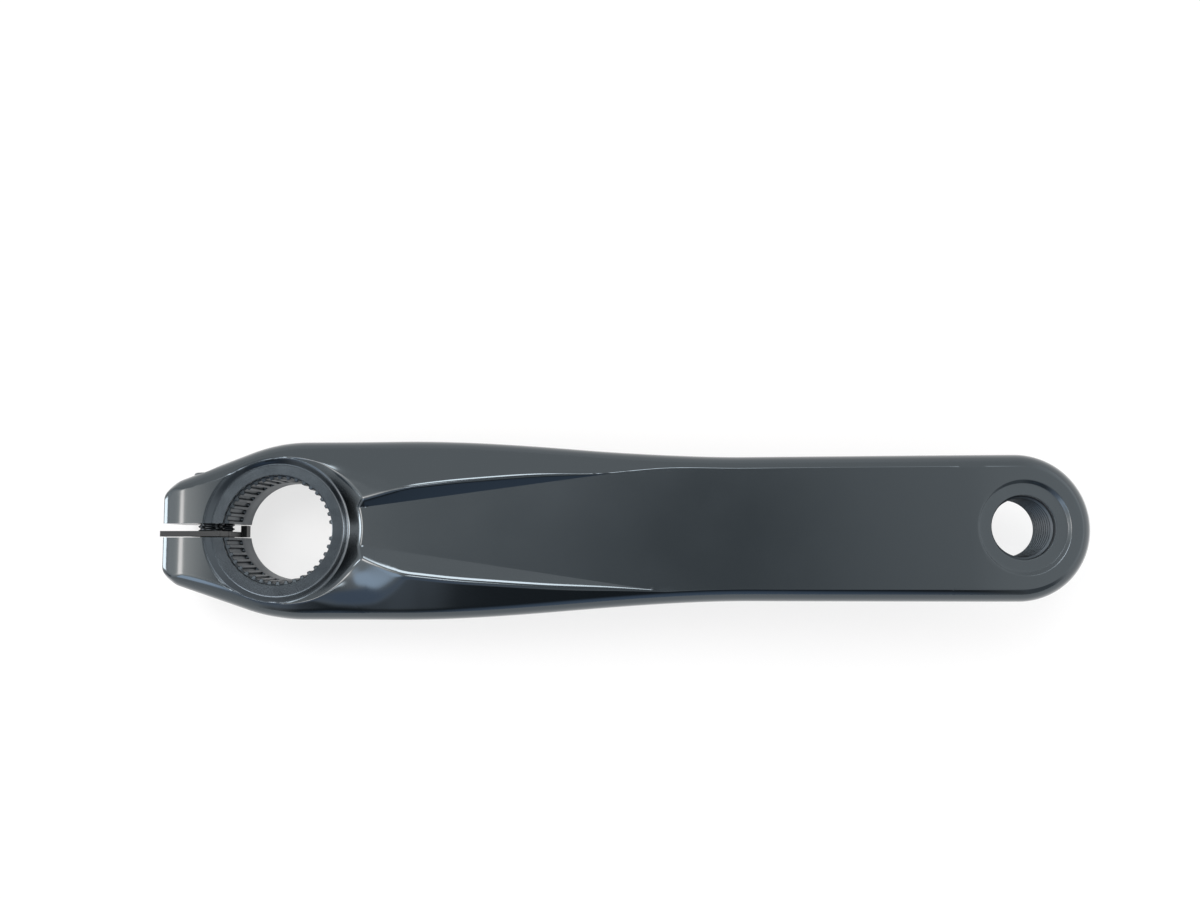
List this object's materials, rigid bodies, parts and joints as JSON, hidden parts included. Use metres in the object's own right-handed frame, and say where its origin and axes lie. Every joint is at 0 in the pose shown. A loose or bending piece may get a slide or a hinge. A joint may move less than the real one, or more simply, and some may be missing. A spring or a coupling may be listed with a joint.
{
  "type": "bicycle crank arm",
  "caption": "Left bicycle crank arm: forged arm with recessed panel, splined split clamp with bolts and a stopper plate, and a threaded pedal eye.",
  "frame": {"origin": "on the spindle axis, in the plane of the clamp boss's inner face", "axes": "+X along the arm to the pedal, +Z outwards along the spindle axis, away from the bicycle, +Y across the arm"},
  "size_m": [0.2142, 0.0424, 0.0388],
  "materials": {
    "grey_anodised_arm": "glossy dark grey anodised forging",
    "black_stopper": "black coated sheet steel",
    "clamp_bolt_steel": "dark plated steel"
  },
  "bodies": {
    "arm": {"crank_arm": "grey_anodised_arm", "outer_clamp_bolt": "clamp_bolt_steel", "inner_clamp_bolt": "clamp_bolt_steel", "outer_bolt_washer": "clamp_bolt_steel", "inner_bolt_washer": "clamp_bolt_steel"},
    "stopper": {"stopper_plate": "black_stopper"}
  },
  "joints": [
    {"name": "stopper_plate_pivot", "type": "hinge", "parent": "arm", "child": "stopper", "pos_m": [-0.0177, 0, 0.0135], "axis": [0, 1, 0], "range_deg": [-9, 0]}
  ]
}
